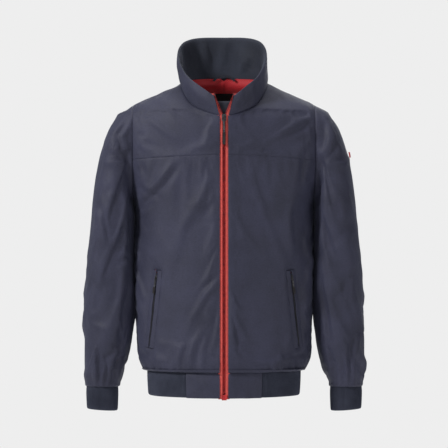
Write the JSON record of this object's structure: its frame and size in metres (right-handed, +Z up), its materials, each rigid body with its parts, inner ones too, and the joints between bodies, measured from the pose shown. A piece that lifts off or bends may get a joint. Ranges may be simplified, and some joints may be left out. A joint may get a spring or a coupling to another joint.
{
  "type": "foul weather jacket",
  "caption": "Zipped blouson sailing jacket with stand collar, yokes, zipped hand pockets, mesh lining and ribbed hem and cuffs.",
  "frame": {"origin": "middle of the neck opening, level with the back neck seam and in the plane of the side seams, where a hanger or a mannequin's neck comes up", "axes": "+Z up, -Y to the front, +X to the wearer's left"},
  "size_m": [0.634, 0.2776, 0.8343],
  "materials": {
    "shell_cloth": "plain woven navy nylon with a dull coated sheen",
    "collar_lining": "dark navy brushed taffeta",
    "dark_cloth": "smooth near-black taffeta",
    "pocket_cloth": "dark knitted pocketing",
    "mesh_lining": "open knitted red mesh",
    "rib_knit": "navy rib knit",
    "label_cloth": "blank black woven label",
    "loop_tape": "narrow dark woven tape",
    "zip_tape": "red woven zip tape",
    "zip_teeth": "dark red moulded teeth",
    "pocket_zip": "black nylon coil on black tape",
    "zip_metal": "gunmetal zinc casting",
    "grip_rubber": "black moulded rubber",
    "tab_cloth": "plain red woven tape"
  },
  "bodies": {
    "back": {"back_panel": "shell_cloth", "back_yoke": "shell_cloth", "back_lining": "mesh_lining", "rib_hem_back": "rib_knit", "neck_label": "label_cloth", "collar_outer_back": "shell_cloth", "collar_inner_back": "collar_lining"},
    "front_left": {"front_panel_left": "shell_cloth", "front_yoke_left": "shell_cloth", "hem_band_left": "shell_cloth", "rib_hem_left": "rib_knit", "facing_left": "dark_cloth", "front_lining_left": "mesh_lining", "pocket_bag_left": "pocket_cloth", "collar_outer_left": "shell_cloth", "collar_inner_left": "collar_lining", "zip_tape_left": "zip_tape", "zip_teeth_left": "zip_teeth", "pocket_welt_left": "shell_cloth", "pocket_zip_left": "pocket_zip", "zip_top_stop_left": "zip_metal", "zip_box": "zip_metal"},
    "front_right": {"front_panel_right": "shell_cloth", "front_yoke_right": "shell_cloth", "hem_band_right": "shell_cloth", "rib_hem_right": "rib_knit", "facing_right": "dark_cloth", "front_lining_right": "mesh_lining", "pocket_bag_right": "pocket_cloth", "collar_outer_right": "shell_cloth", "collar_inner_right": "collar_lining", "zip_tape_right": "zip_tape", "zip_teeth_right": "zip_teeth", "pocket_welt_right": "shell_cloth", "pocket_zip_right": "pocket_zip", "zip_top_stop_right": "zip_metal", "zip_pin": "zip_metal", "storm_flap": "dark_cloth"},
    "sleeve_left": {"sleeve_left": "shell_cloth", "sleeve_lining_left": "dark_cloth", "rib_cuff_left": "rib_knit", "sleeve_tab": "tab_cloth"},
    "sleeve_right": {"sleeve_right": "shell_cloth", "sleeve_lining_right": "dark_cloth", "rib_cuff_right": "rib_knit"},
    "hanger_loop": {"hanger_loop": "loop_tape"},
    "zip_slider": {"zip_slider": "zip_metal"},
    "zip_pull": {"zip_pull": "zip_metal", "zip_grip": "grip_rubber"},
    "pocket_slider_left": {"pocket_slider_left": "zip_metal"},
    "pocket_pull_left": {"pocket_pull_left": "zip_metal", "pocket_grip_left": "grip_rubber"},
    "pocket_slider_right": {"pocket_slider_right": "zip_metal"},
    "pocket_pull_right": {"pocket_pull_right": "zip_metal", "pocket_grip_right": "grip_rubber"}
  },
  "joints": [
    {"name": "front_left_open", "type": "hinge", "parent": "back", "child": "front_left", "pos_m": [0.197, -0.08, -0.4], "axis": [0, 0, 1], "range_deg": [0, 35]},
    {"name": "front_right_open", "type": "hinge", "parent": "back", "child": "front_right", "pos_m": [-0.197, -0.08, -0.4], "axis": [0, 0, -1], "range_deg": [0, 35]},
    {"name": "front_zip", "type": "slide", "parent": "front_left", "child": "zip_slider", "axis": [0, -0.0434, -0.9991], "range_m": [0, 0.591]},
    {"name": "zip_pull_lift", "type": "hinge", "parent": "zip_slider", "child": "zip_pull", "pos_m": [0, -0.11707, -0.08951], "axis": [-1, 0, 0], "range_deg": [0, 150]},
    {"name": "hanger_loop_flip", "type": "hinge", "parent": "back", "child": "hanger_loop", "pos_m": [0, 0.054, 0], "axis": [1, 0, 0], "range_deg": [0, 150]},
    {"name": "sleeve_left_lift", "type": "hinge", "parent": "back", "child": "sleeve_left", "pos_m": [0.2036, 0, -0.064], "axis": [0, -1, 0], "range_deg": [0, 40]},
    {"name": "pocket_zip_left", "type": "slide", "parent": "front_left", "child": "pocket_slider_left", "axis": [0.1076, 0.0542, -0.9927], "range_m": [0, 0.138]},
    {"name": "pocket_pull_left_lift", "type": "hinge", "parent": "pocket_slider_left", "child": "pocket_pull_left", "pos_m": [0.15152, -0.08712, -0.44265], "axis": [-0.7351, -0.6679, -0.1162], "range_deg": [0, 150]},
    {"name": "sleeve_right_lift", "type": "hinge", "parent": "back", "child": "sleeve_right", "pos_m": [-0.2036, 0, -0.064], "axis": [0, 1, 0], "range_deg": [0, 40]},
    {"name": "pocket_zip_right", "type": "slide", "parent": "front_right", "child": "pocket_slider_right", "axis": [-0.1076, 0.0542, -0.9927], "range_m": [0, 0.138]},
    {"name": "pocket_pull_right_lift", "type": "hinge", "parent": "pocket_slider_right", "child": "pocket_pull_right", "pos_m": [-0.15152, -0.08712, -0.44265], "axis": [-0.7351, 0.6679, 0.1162], "range_deg": [0, 150]}
  ],
  "couplings": [
    {"joint": "front_right_open", "follows": "front_left_open", "ratio": 1},
    {"joint": "front_zip", "follows": "front_left_open", "m_per_rad": 0.96584}
  ]
}
